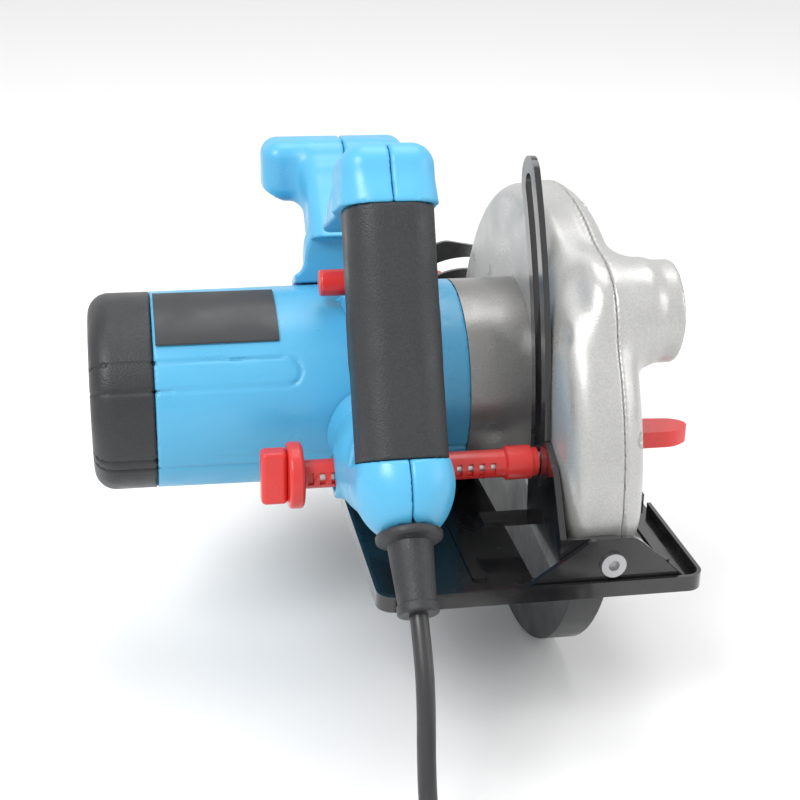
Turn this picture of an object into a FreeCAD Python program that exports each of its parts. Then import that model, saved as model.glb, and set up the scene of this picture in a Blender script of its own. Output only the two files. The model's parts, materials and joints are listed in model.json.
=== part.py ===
import FreeCAD, Part
import math
import os
import re

# Hand-held circular saw with a 185 mm blade, millimetres, +Z up.
# +X points to the blade side, +Y is the cutting direction. The origin lies on the
# sole plane, in the blade's mid-plane, straight under the blade's axis.

Vector = FreeCAD.Vector
Rotation = FreeCAD.Rotation
Placement = FreeCAD.Placement

doc = FreeCAD.newDocument("circular_saw")
sheet = doc.addObject("Spreadsheet::Sheet", "Sizes")

DIMENSIONS = [
    ("blade_radius", 92.5), ("blade_thickness", 1.8), ("blade_bore", 10), ("blade_gullet", 85),
    ("arbor_height", 27.5), ("motor_height", 50), ("floor_level", -71),
    ("plate_left", -92.5), ("plate_right", 38), ("plate_rear", -116), ("plate_front", 165),
    ("plate_thickness", 2), ("lip_height", 6.5), ("lip_thickness", 1.6),
    ("window_left", -28), ("window_right", 21), ("window_rear", -103), ("window_front", 105),
    ("tilt_height", 13), ("ear_thickness", 2.5), ("rear_ear_face", -113.5), ("rear_foot_face", -110.6),
    ("front_ear_face", 150), ("front_foot_face", 147.2), ("stud_reach", 42.4),
    ("depth_pivot_y", 140), ("depth_pivot_height", 28), ("depth_range", 30),
    ("bracket_face", -20.7), ("bracket_thickness", 2.5), ("bracket_half", 10), ("slot_half", 4.4),
    ("knob_y", -72), ("knob_height", 39.5), ("bolt_radius", 4),
    ("motor_joint", -41.6), ("cap_joint", -171), ("cap_end", -197),
    ("motor_radius", 42.8), ("motor_radius_rear", 41.7), ("motor_wall", 3),
    ("guard_left", -14), ("guard_right", 13), ("guard_split", 5), ("guard_radius", 105.7),
    ("guard_wall", 2.5), ("guard_rim", 4), ("guard_bottom", 12),
    ("column_radius", 17.2), ("column_middle", -0.5),
    ("outlet_y", -60), ("outlet_height", 97.3), ("outlet_radius", 22), ("outlet_bore", 19),
    ("outlet_face", 34), ("outlet_floor", 10.4),
    ("lower_left", -7.5), ("lower_right", 6.5), ("lower_radius", 98.5), ("lower_rim", 95.5),
    ("lower_wall", 1.5),
    ("lower_start", -172), ("lower_sweep", 164), ("nose_radius", 21), ("running", 0.05),
    ("handle_plane", -82.6), ("shell_wall", 2.6), ("bar_shade", 0.15),
    ("gear_module", 0.9), ("pinion_teeth", 10), ("wheel_teeth", 40),
    ("cord_radius", 3.5), ("coil_inner", 28), ("coil_pitch", 7.44), ("coil_turns", 3.5),
]
for row, (alias, number) in enumerate(DIMENSIONS, 1):
    sheet.set(f"A{row}", alias)
    sheet.set(f"B{row}", str(number))
    sheet.setAlias(f"B{row}", alias)
doc.recompute()
ALIASES = {alias for alias, number in DIMENSIONS}
TURN = {"X": Rotation(Vector(0, 1, 0), 90), "Y": Rotation(Vector(1, 0, 0), -90), "Z": Rotation()}
nodes = []


def size(alias):
    return float(getattr(sheet, alias))


def bound(formula):
    def named(word):
        return "Sizes." + word[0] if word[0] in ALIASES else word[0]
    return re.sub(r"[a-z_]+", named, str(formula))


def bind(thing, **formulas):
    for name, formula in formulas.items():
        thing.setExpression(name, bound(formula))
    return thing


def settle(thing, x, y, z):
    for name, formula in (("x", x), ("y", y), ("z", z)):
        thing.setExpression("Placement.Base." + name, bound(formula))
    return thing


def rod(axis, radius, start, end, first, second):
    """A cylinder along an axis from start to end; first and second are its other two coordinates."""
    thing = doc.addObject("Part::Cylinder", "Rod")
    thing.Placement = Placement(Vector(), TURN[axis])
    bind(thing, Radius=radius, Height=f"({end}) - ({start})")
    place = {"X": (start, first, second), "Y": (first, start, second), "Z": (first, second, start)}[axis]
    return settle(thing, *place)


def block(x0, x1, y0, y1, z0, z1):
    thing = doc.addObject("Part::Box", "Block")
    bind(thing, Length=f"({x1}) - ({x0})", Width=f"({y1}) - ({y0})", Height=f"({z1}) - ({z0})")
    return settle(thing, x0, y0, z0)


def ball(radius, x, y, z):
    thing = doc.addObject("Part::Sphere", "Ball")
    bind(thing, Radius=radius)
    return settle(thing, x, y, z)


def bar(radius_a, radius_b, a, b):
    """A straight bar between two points, a shade thinner than the balls of these radii at its ends."""
    radius_a, radius_b = radius_a - size("bar_shade"), radius_b - size("bar_shade")
    run = Vector(*b) - Vector(*a)
    length = run.Length
    way = Vector(run).normalize()
    slope = (radius_a - radius_b) / length
    if abs(slope) < 1e-9:
        thing = doc.addObject("Part::Cylinder", "Bar")
        bind(thing, Radius=radius_a, Height=length)
        start = Vector(*a)
    else:
        thing = doc.addObject("Part::Cone", "Taper")
        level = math.sqrt(1 - slope * slope)
        bind(thing, Radius1=radius_a * level, Radius2=radius_b * level, Height=length * level * level)
        start = Vector(*a) + way * (radius_a * slope)
    thing.Placement = Placement(start, Rotation(Vector(0, 0, 1), way))
    return thing


def join(*things):
    thing = doc.addObject("Part::MultiFuse", "Join")
    thing.Shapes = list(things)
    return thing


def cut(base, *tools):
    for tool in tools:
        thing = doc.addObject("Part::Cut", "Cut")
        thing.Base = base
        thing.Tool = tool
        base = thing
    return base


def common(base, tool):
    thing = doc.addObject("Part::Common", "Common")
    thing.Base = base
    thing.Tool = tool
    return thing


def soften(base, radius, chosen):
    """Fillet the edges for which chosen(edge) is true."""
    doc.recompute()
    thing = doc.addObject("Part::Fillet", "Soft")
    thing.Base = base
    picked = [n for n, edge in enumerate(base.Shape.Edges, 1) if chosen(edge)]
    thing.Edges = [(n, radius, radius) for n in picked]
    return thing


def node(name, thing):
    thing.Label = name
    nodes.append(thing)
    return thing


# ---- sketched bodies ----

def rounded(corners):
    """Lines and arcs of a closed outline; each corner is (u, v) or (u, v, fillet radius)."""
    edges = []
    joints = []
    count = len(corners)
    for n, corner in enumerate(corners):
        here = Vector(corner[0], corner[1])
        radius = corner[2] if len(corner) > 2 else 0
        back = (Vector(*corners[n - 1][:2]) - here).normalize()
        ahead = (Vector(*corners[(n + 1) % count][:2]) - here).normalize()
        if not radius:
            joints.append((here, here, None))
            continue
        half = back.getAngle(ahead) / 2
        reach = radius / math.tan(half)
        middle = here + (back + ahead).normalize() * (radius / math.sin(half) - radius)
        joints.append((here + back * reach, here + ahead * reach, middle))
    for n, (enter, leave, middle) in enumerate(joints):
        if middle:
            edges.append(Part.Arc(enter, middle, leave))
        following = joints[(n + 1) % count][0]
        if (following - leave).Length > 1e-6:
            edges.append(Part.LineSegment(leave, following))
    return edges


def ring(u, v, radius):
    return [Part.Circle(Vector(u, v), Vector(0, 0, 1), radius)]


def arc_slot(u, v, radius, half, start, end):
    """A slot of half width along an arc about (u, v), with round ends, angles in degrees."""
    def at(distance, degrees):
        turn = math.radians(degrees)
        return Vector(u + distance * math.cos(turn), v + distance * math.sin(turn))
    middle = (start + end) / 2
    bulge = math.degrees(half / radius)
    return [
        Part.Arc(at(radius + half, start), at(radius + half, middle), at(radius + half, end)),
        Part.Arc(at(radius + half, end), at(radius, end + bulge), at(radius - half, end)),
        Part.Arc(at(radius - half, end), at(radius - half, middle), at(radius - half, start)),
        Part.Arc(at(radius - half, start), at(radius, start - bulge), at(radius + half, start)),
    ]


def sketched(body, plane, loops):
    sketch = body.newObject("Sketcher::SketchObject", "Outline")
    role = plane + "_Plane"
    sketch.AttachmentSupport = [(item, "") for item in body.Origin.OriginFeatures if item.Role == role]
    sketch.MapMode = "FlatFace"
    for loop in loops:
        sketch.addGeometry(loop, False)
    return sketch


def plate(plane, start, thickness, *loops):
    """A flat plate: XY lies at height start; YZ faces +X; XZ has its thickness towards +Y."""
    body = doc.addObject("PartDesign::Body", "Plate")
    pad = body.newObject("PartDesign::Pad", "Pad")
    pad.Profile = sketched(body, plane, loops)
    pad.Reversed = plane == "XZ"
    bind(pad, Length=thickness)
    body.Tip = pad
    place = {"XY": (0, 0, start), "YZ": (start, 0, 0), "XZ": (0, start, 0)}[plane]
    return settle(body, *place)


def turned(corners, y, z):
    """A solid of revolution about a line along X at (y, z); corners are (x, radius)."""
    body = doc.addObject("PartDesign::Body", "Turned")
    sketch = sketched(body, "XY", [rounded(corners)])
    spin = body.newObject("PartDesign::Revolution", "Spin")
    spin.Profile = sketch
    spin.ReferenceAxis = (sketch, ["H_Axis"])
    spin.Angle = 360
    body.Tip = spin
    return settle(body, 0, y, z)


# ---- base: the stamped sole plate and what is riveted to it ----

def base_plate():
    left, right = size("plate_left"), size("plate_right")
    rear, front = size("plate_rear"), size("plate_front")
    lip = size("lip_thickness")
    corner = 7
    outline = [(left, rear, corner), (right, rear, corner), (right, front, corner), (left, front, corner)]
    inner = [(left + lip, rear + lip, corner - lip), (right - lip, rear + lip, corner - lip),
             (right - lip, front - lip, corner - lip), (left + lip, front - lip, corner - lip)]
    window = [(size("window_left"), size("window_rear"), 4), (size("window_right"), size("window_rear"), 4),
              (size("window_right"), size("window_front"), 4), (size("window_left"), size("window_front"), 4)]
    holes = [ring(-12, rear + 9, 1.8), ring(8, rear + 9, 1.8)]
    floor = plate("XY", 0, "plate_thickness", rounded(outline), rounded(window), *holes)
    edge = plate("XY", "plate_thickness", "lip_height - plate_thickness", rounded(outline), rounded(inner))
    bead = plate("XY", "plate_thickness", 1,
                 rounded([(27, -95, 1.4), (31, -95, 1.4), (31, 95, 1.4), (27, 95, 1.4)]))
    bent = [(-52, -100, 2), (-46, -100, 2), (-46, -30, 2), (-34, -10, 2), (-40, -6, 2), (-52, -26, 2)]
    left_bead = plate("XY", "plate_thickness", 1, rounded(bent))
    notch = block("plate_right - 4", "plate_right + 1", -50, -42, "plate_thickness", "lip_height + 1")
    sight = block(-2, 2, "plate_front - 12", "plate_front + 1", -1, "lip_height + 1")
    node("base_plate", cut(join(floor, edge, bead, left_bead), notch, sight))


def base_brackets():
    pivot = size("tilt_height")
    thick = size("plate_thickness")
    ear = [(-34, thick), (30, thick), (30, thick + 3, 2), (9, pivot + 11, 9), (-8, pivot + 11, 9),
           (-34, thick + 3, 2)]
    upright = plate("XZ", "rear_ear_face", "ear_thickness", rounded(ear), ring(0, pivot, 3.05))
    flange = plate("XY", "plate_thickness", 1.5,
                   rounded([(-34, -113.5), (30, -113.5), (30, -105.5, 2), (22.5, -105.5, 1),
                            (22.5, -111.4), (-16, -111.4), (-16, -105.5, 2), (-34, -105.5, 2)]))
    node("rear_ear", join(upright, flange))
    quadrant = [(-50, thick), (16, thick), (16, pivot + 8, 8), (9, 64, 8), (-12, 68, 12), (-46, 56, 10)]
    slot = arc_slot(0, pivot, size("stud_reach"), 3.3, 86, 138)
    front = plate("XZ", "front_ear_face", "ear_thickness", rounded(quadrant), ring(0, pivot, 3.05), slot)
    front_flange = block(-50, 16, "front_ear_face", "front_ear_face + 10",
                         "plate_thickness", "plate_thickness + 1.5")
    node("front_quadrant", join(front, front_flange))
    low = "plate_thickness"
    spots = [(-29, -108.5), (26.3, -108.5), (-40, 156), (8, 156)]
    rivets = [join(rod("Z", 1.5, low, "plate_thickness + 1.5", x, y), ball(2.2, x, y, "plate_thickness + 1.6"))
              for x, y in spots]
    trim = block(-60, 40, -120, 170, 0, "plate_thickness + 1.5")
    node("base_rivets", cut(join(*rivets), trim))
    rear_pin = join(rod("Y", 3, "rear_ear_face - 1.2", "rear_foot_face + 3.4", 0, "tilt_height"),
                    rod("Y", 5, "rear_ear_face - 1.6", "rear_ear_face", 0, "tilt_height"),
                    rod("Y", 5, "rear_foot_face + 2.7", "rear_foot_face + 3.9", 0, "tilt_height"))
    rear_pin = cut(rear_pin, rod("Y", 2.2, "rear_ear_face - 2", "rear_ear_face + 1", 0, "tilt_height"))
    front_pin = join(rod("Y", 3, "front_foot_face - 0.9", "front_ear_face + 3.4", 0, "tilt_height"),
                     rod("Y", 5, "front_foot_face - 1.8", "front_foot_face - 0.3", 0, "tilt_height"),
                     rod("Y", 5, "front_ear_face + 2.5", "front_ear_face + 4", 0, "tilt_height"))
    node("bevel_pivot_rivets", join(rear_pin, front_pin))


def fence_guide():
    bridge = cut(block(-78, -50, 128, 148, "plate_thickness", 14),
                 block(-79, -49, 130.5, 145.5, "plate_thickness", 8),
                 rod("Z", 3.05, 7, 15, -64, 138))
    node("fence_guide", bridge)
    wings = join(rod("Z", 5, 15, 21, -64, 138), block(-74, -54, 136.4, 139.6, 17, 26))
    node("fence_screw", join(rod("Z", 3, 8.4, 16, -64, 138), wings))


# ---- tilt frame: the two feet that swing on the base, and the slotted depth bracket ----

def depth_bracket():
    y, z = size("depth_pivot_y"), size("depth_pivot_height")
    reach = math.hypot(y - size("knob_y"), size("knob_height") - z)
    low = 180 - math.degrees(math.atan2(size("knob_height") - z, y - size("knob_y")))
    high = low - size("depth_range")
    half = size("bracket_half")
    arm = arc_slot(y, z, reach, half, high - 0.7, low)
    slot = arc_slot(y, z, reach, size("slot_half"), high - 0.35, low + 0.35)
    bar = plate("YZ", "bracket_face", "bracket_thickness", arm)
    rear = size("rear_foot_face")
    gusset = plate("YZ", "bracket_face", "bracket_thickness",
                   rounded([(rear, 4.5, 1), (-62, 9, 8), (-60, 40), (-82, 52), (-94, 46, 14), (rear, 22, 10)]))
    pivot = size("tilt_height")
    foot = plate("XZ", "rear_foot_face", "ear_thickness",
                 rounded([(-20.7, 4.5), (0, 4.5), (0, pivot + 10), (-20.7, pivot + 10)]))
    boss = rod("Y", 10, "rear_foot_face", "rear_foot_face + ear_thickness", 0, "tilt_height")
    bore = rod("Y", 3.05, "rear_foot_face - 1", "rear_foot_face + 4", 0, "tilt_height")
    tab = block(-42, "bracket_face", -74, -64, 12, 14)
    track = plate("YZ", "bracket_face - 1", "bracket_thickness + 2", slot)
    node("depth_bracket", cut(join(bar, gusset, foot, boss, tab), track, bore))


def front_bracket():
    pivot = size("tilt_height")
    stud_x = -size("stud_reach") * math.sqrt(0.5)
    stud_z = pivot - stud_x
    face = plate("XZ", "front_foot_face", "ear_thickness",
                 rounded([(-36, 36, 5), (-36, 51, 7), (-22, 51, 6), (-9, 38, 5), (-9, 22), (-22, 22)]),
                 ring(stud_x, stud_z, 3))
    foot = plate("XZ", "front_foot_face", "ear_thickness",
                 rounded([(-22, 13.5, 2), (-22, 24), (10, 24), (10, 13.5)]))
    boss = rod("Y", 10, "front_foot_face", "front_foot_face + ear_thickness", 0, "tilt_height")
    bore = rod("Y", 3.05, "front_foot_face - 1", "front_foot_face + 4", 0, "tilt_height")
    cheeks = [block(x, x + 2.5, "depth_pivot_y - 8", "front_foot_face + 0.5", "depth_pivot_height - 7",
                    "depth_pivot_height + 7") for x in (-21.7, -11.2)]
    pin_bore = rod("X", 3.05, -30, 0, "depth_pivot_y", "depth_pivot_height")
    node("front_bracket", cut(join(face, foot, boss, *cheeks), bore, pin_bore))
    pin = join(rod("X", 3.05, -23.2, -7.2, "depth_pivot_y", "depth_pivot_height"),
               rod("X", 5, -23.4, -21.7, "depth_pivot_y", "depth_pivot_height"),
               rod("X", 4.6, -8.7, -7.5, "depth_pivot_y", "depth_pivot_height"))
    node("depth_pivot_pin", pin)
    stud = rod("Y", 3, "front_foot_face - 1", "front_ear_face + 16", stud_x, stud_z)
    head = rod("Y", 5, "front_foot_face - 3", "front_foot_face", stud_x, stud_z)
    node("bevel_stud", join(stud, head))
    hub = rod("Y", 8, "front_ear_face + 3", "front_ear_face + 15", stud_x, stud_z)
    wing = block(stud_x - 19, stud_x + 19, "front_ear_face + 8", "front_ear_face + 15", stud_z - 4, stud_z + 4)
    knob_bore = rod("Y", 3.05, "front_ear_face + 2", "front_ear_face + 17", stud_x, stud_z)
    node("bevel_knob", cut(join(hub, wing), knob_bore))


# ---- depth knob: long red sleeve on a steel bolt ----

def depth_knob():
    y, z = size("knob_y"), size("knob_height")
    profile = [(-122, 0), (-122, 13.2, 1.5), (-116, 13.2, 1.5), (-116, 5.7), (-35, 5.7), (-34, 6.9), (-24, 6.9),
               (-24, 5.8), (-21.2, 5.8), (-21.2, 4), (-112, 4), (-112, 0)]
    sleeve = turned(profile, "knob_y", "knob_height")
    grip = block(-132.4, -121.9, y - 4.2, y + 4.2, z - 11, z + 11)
    grip = soften(grip, 2, lambda edge: True)
    gaps = []
    for start, count in ((-114.3, 4), (-59.5, 5)):
        for n in range(count):
            x = start + n * 4.6
            gaps.append(block(x, x + 2.2, y - 8, y - 3.8, z - 2.6, z + 2.6))
    node("depth_knob", cut(join(sleeve, grip), *gaps))
    node("depth_bolt", rod("X", "bolt_radius", -112, -11.8, "knob_y", "knob_height"))


# ---- motor ----

CAP_SCREWS = (-20, 20)


def motor_shell():
    rear, outer, joint = size("motor_radius_rear"), size("motor_radius"), size("motor_joint")
    cap, wall = size("cap_joint"), size("motor_wall")
    outline = [(cap, rear), (joint, outer), (joint, outer - wall), (-168, rear - wall), (-168, 11), (-182, 11),
               (-182, 5.5), (-184.5, 5.5), (-184.5, 14), (cap, 14)]
    shell = turned(outline, 0, "motor_height")
    vents = []
    for n in range(6):
        turn = math.radians(60 * n + 30)
        y, z = 26 * math.cos(turn), 50 + 26 * math.sin(turn)
        vents.append(rod("X", 7, "cap_joint - 1", -167, y, z))
    top = size("motor_height")
    screw_bores = [rod("X", 1.7, "cap_joint - 1", -165, y, "motor_height") for y in CAP_SCREWS]
    node("motor_housing", cut(shell, *vents, *screw_bores))
    end = size("cap_end")
    profile = [(cap - 0.2, rear), (-188, rear - 0.8, 6), (end, 33, 9), (end, 0), (end + 2.6, 0),
               (end + 2.6, 31, 6), (-186, rear - 3.4, 5), (cap - 0.2, rear - 2.8)]
    cover = turned(profile, 0, "motor_height")
    slots = []
    for n in range(5):
        z = top - 20 + 10 * n
        slots.append(block("cap_end - 1", "cap_end + 5", -13, 13, z - 1.6, z + 1.6))
    posts = [rod("X", 5, "cap_end + 1", "cap_joint - 0.3", y, "motor_height") for y in CAP_SCREWS]
    bores = [rod("X", 1.7, -195, -170, y, "motor_height") for y in CAP_SCREWS]
    head_bores = [rod("X", 3.4, -198, -194.4, y, "motor_height") for y in CAP_SCREWS]
    node("motor_cap", cut(join(cover, *posts), *slots, *bores, *head_bores))


def stator():
    core = cut(rod("X", 38.2, -150, -98, 0, "motor_height"), rod("X", 22.5, -151, -97, 0, "motor_height"))
    slots = [block(-151, -97, side - 5.5, side + 5.5, "motor_height - 13.5", "motor_height + 13.5")
             for side in (-27.5, 27.5)]
    node("stator", cut(core, *slots))
    coils = []
    for start, end in ((-156.7, -150.3), (-97.7, -90)):
        coils.append(cut(rod("X", 35, start, end, 0, "motor_height"),
                         rod("X", 23.2, start - 1, end + 1, 0, "motor_height")))
    bars = [block(-151, -97, side - 4.2, side + 4.2, "motor_height - 12.5", "motor_height + 12.5")
            for side in (-27.7, 27.7)]
    hollow = rod("X", 23.2, -160, -90, 0, "motor_height")
    node("stator_coils", cut(join(*coils, *bars), hollow))


def brushes():
    top = size("motor_height")
    holders = []
    carbons = []
    for side in (-1, 1):
        low, high = sorted((top + side * 17, top + side * 38))
        holders.append(cut(block(-167.9, -157, -6.5, 6.5, low, high),
                           block(-165.6, -159.4, -4.1, 4.1, low - 1, high + 1)))
        low, high = sorted((top + side * 13.6, top + side * 28))
        carbons.append(block(-165.5, -159.5, -4, 4, low, high))
    node("brush_holders", join(*holders))
    node("carbon_brushes", join(*carbons))


def armature():
    shaft = [(-181.5, 0), (-181.5, 4), (-174, 4), (-174, 5), (-39, 5), (-39, 2.6), (-26, 2.6), (-26, 0)]
    node("armature_shaft", turned(shaft, 0, "motor_height"))
    core = cut(rod("X", 21.8, -150, -98, 0, "motor_height"), rod("X", 5, -151, -97, 0, "motor_height"))
    slots = []
    for n in range(12):
        turn = math.radians(30 * n)
        slots.append(rod("X", 1.3, -151, -97, 20.8 * math.cos(turn), 50 + 20.8 * math.sin(turn)))
    node("armature_core", cut(core, *slots))
    heads = [turned([(a, 5), (a, 15, 2.5), (b, 15, 2.5), (b, 5)], 0, "motor_height")
             for a, b in ((-156, -150), (-98, -89.5))]
    node("armature_windings", join(*heads))
    drum = cut(rod("X", 13.3, -167, -157, 0, "motor_height"), rod("X", 5, -168, -156, 0, "motor_height"))
    node("commutator", drum)
    hub = cut(join(rod("X", 9, -88, -76, 0, "motor_height"), rod("X", 37, -78, -76, 0, "motor_height")),
              rod("X", 5, -89, -75, 0, "motor_height"))
    blades = []
    for n in range(12):
        vane = doc.addObject("Part::Box", "Vane")
        bind(vane, Length=10, Width=20, Height=1.5)
        turn = Rotation(Vector(1, 0, 0), 30 * n)
        axle = Vector(-88, 0, size("motor_height"))
        vane.Placement = Placement(axle + turn.multVec(Vector(0, 16.5, -0.75)), turn)
        blades.append(vane)
    node("cooling_fan", join(hub, *blades))


def gear_outline(teeth, thinning, phase):
    """Involute outline about (0, 0), 25 degree pressure angle, stub teeth, as line segments."""
    module = size("gear_module")
    pressure = math.radians(25)
    pitch = module * teeth / 2
    base, tip, root = pitch * math.cos(pressure), pitch + 0.78 * module, pitch - 1.0 * module
    half = (math.pi / 2 - thinning / module) / teeth + math.tan(pressure) - pressure
    flank = []
    for n in range(5):
        radius = base + (tip - base) * n / 4 if base > root else root + (tip - root) * n / 4
        roll = math.sqrt(max(0, (max(radius, base) / base) ** 2 - 1))
        flank.append((radius, half - (roll - math.atan(roll))))
    points = []
    for tooth in range(teeth):
        middle = phase + 2 * math.pi * tooth / teeth
        side = [(root, half + 0.02)] + flank if base > root else flank
        for radius, turn in side:
            points.append((radius * math.cos(middle - turn), radius * math.sin(middle - turn)))
        for radius, turn in reversed(side):
            points.append((radius * math.cos(middle + turn), radius * math.sin(middle + turn)))
    return [Part.LineSegment(Vector(*points[n - 1]), Vector(*points[n])) for n in range(len(points))]


def gears():
    pinion, wheel = int(size("pinion_teeth")), int(size("wheel_teeth"))
    small = plate("YZ", -38.9, 12.4, gear_outline(pinion, 0.06, -math.pi / 2), ring(0, 0, 2.6))
    node("pinion", settle(small, -38.9, 0, "motor_height"))
    big = plate("YZ", -37, 10, gear_outline(wheel, 0.06, math.pi / 2 + math.pi / wheel), ring(0, 0, 7.5))
    node("spindle_gear", settle(big, -37, 0, "arbor_height"))


def spindle():
    profile = [(-46.3, 0), (-46.3, 4), (-39.2, 4), (-39.2, 7.5), (-13, 7.5), (-13, 8.5), (-5, 8.5), (-5, 6),
               (0.5, 6), (0.5, 4.05), (-16, 4.05), (-16, 0)]
    node("spindle", turned(profile, 0, "arbor_height"))
    inner = [(-5, 6), (-5, 19, 0.5), (-0.9, 19), (-0.9, 9.97), (0.8, 9.97), (0.8, 6)]
    node("inner_flange", turned(inner, 0, "arbor_height"))
    outer = [(0.9, 4.05), (0.9, 19), (3, 19, 0.8), (5, 14, 1), (5, 4.05)]
    node("outer_flange", turned(outer, 0, "arbor_height"))
    head = doc.addObject("Part::Prism", "Head")
    head.Polygon = 6
    head.Placement = Placement(Vector(), TURN["X"])
    bind(head, Circumradius=7.5, Height=5.3)
    settle(head, 5.02, 0, "arbor_height")
    node("blade_bolt", join(head, rod("X", 4, -15, 5.02, 0, "arbor_height")))


def saw_blade():
    teeth = 24
    tip, gullet = size("blade_radius"), size("blade_gullet")
    edges = []

    def at(radius, turn):
        return Vector(radius * math.cos(turn), radius * math.sin(turn))
    pitch = 2 * math.pi / teeth
    for tooth in range(teeth):
        turn = tooth * pitch
        corners = [at(tip, turn), at(tip - 1.2, turn + 0.035), at(gullet + 1.5, turn + 0.6 * pitch)]
        floor = at(gullet, turn + 0.8 * pitch)
        rise = at(gullet + 1.5, turn + 0.95 * pitch)
        edges.append(Part.LineSegment(corners[0], corners[1]))
        edges.append(Part.LineSegment(corners[1], corners[2]))
        edges.append(Part.Arc(corners[2], floor, rise))
        edges.append(Part.LineSegment(rise, at(tip, turn + pitch)))
    disc = plate("YZ", "0 - blade_thickness / 2", "blade_thickness", edges, ring(0, 0, size("blade_bore")))
    disc = settle(disc, "0 - blade_thickness / 2", 0, "arbor_height")
    slits = []
    for n in range(4):
        turn = math.radians(90 * n + 41)
        slit = doc.addObject("Part::Box", "Slit")
        bind(slit, Length=4, Width=24, Height=1)
        spin = Rotation(Vector(1, 0, 0), math.degrees(turn))
        axle = Vector(-2, 0, size("arbor_height"))
        slit.Placement = Placement(axle + spin.multVec(Vector(0, 66, -0.5)), spin)
        slits.append(slit)
    node("saw_blade", cut(disc, *slits))


def bearings():
    rings = []
    seats = [(4.03, 11, -181.9, -174.9, "motor_height"), (5.03, 15, -58, -49, "motor_height"),
             (4.03, 11, -46.5, -39.5, "arbor_height"), (7.53, 16, -23, -14, "arbor_height")]
    for inner, outer, start, end, z in seats:
        profile = [(start, inner), (start, outer), (end, outer), (end, inner)]
        rings.append(turned(profile, 0, z))
    node("ball_bearings", join(*rings))


# ---- gear case and guards ----

CASE_SCREWS = [(y, 50 + z) for y in (-25.8, 25.8) for z in (-25.8, 25.8)]
GUARD_SCREW_TURNS = (22, 60, 98, 163)


def rim_spots(radius):
    turns = [math.radians(turn) for turn in GUARD_SCREW_TURNS]
    return [(radius * math.cos(turn), size("arbor_height") + radius * math.sin(turn)) for turn in turns]


def gear_case():
    outer = join(rod("X", "motor_radius", "motor_joint", "guard_left", 0, "motor_height"),
                 rod("X", 23.8, "motor_joint", "guard_left", 0, "arbor_height"),
                 rod("X", 39.6, -50, "motor_joint", 0, "motor_height"),
                 rod("X", 18, -58, -50, 0, "motor_height"),
                 rod("X", "nose_radius", "guard_left", -6, 0, "arbor_height"),
                 rod("X", 20, -6, -5.3, 0, "arbor_height"))
    hollows = [rod("X", 21.5, -39.5, -24, 0, "arbor_height"), rod("X", 12, -39.5, -24, 0, "motor_height"),
               rod("X", 15, -59, -49, 0, "motor_height"), rod("X", 6, -50, -39, 0, "motor_height"),
               rod("X", 11, -46.5, -39, 0, "arbor_height"), rod("X", 16, -25, -14, 0, "arbor_height"),
               rod("X", 9, -15, -5, 0, "arbor_height"), block(-39.5, -24, -9, 9, 28, 50)]
    button_bore = rod("Y", 4.3, 15, 46, -29, "motor_height - 12")
    screw_bores = [rod("X", 1.95, -51, -35.5, y, z) for y, z in CASE_SCREWS]
    node("gear_case", cut(outer, *hollows, button_bore, *screw_bores))
    node("spindle_lock_button", join(rod("Y", 4.2, 24, 46, -29, "motor_height - 12"),
                                     rod("Y", 7, 45, 48.5, -29, "motor_height - 12")))
    node("guard_retaining_ring", cut(rod("X", 23.5, -5.8, -5.35, 0, "arbor_height"),
                                     rod("X", 20, -6, -5, 0, "arbor_height")))
    coil = [Part.makeTorus(23.6, 0.6, Vector(x, 0, size("arbor_height")), Vector(1, 0, 0))
            for x in (-11.2, -9.7)]
    spring = doc.addObject("Part::Feature", "Spring")
    spring.Shape = Part.makeCompound(coil)
    node("guard_spring", spring)


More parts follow.
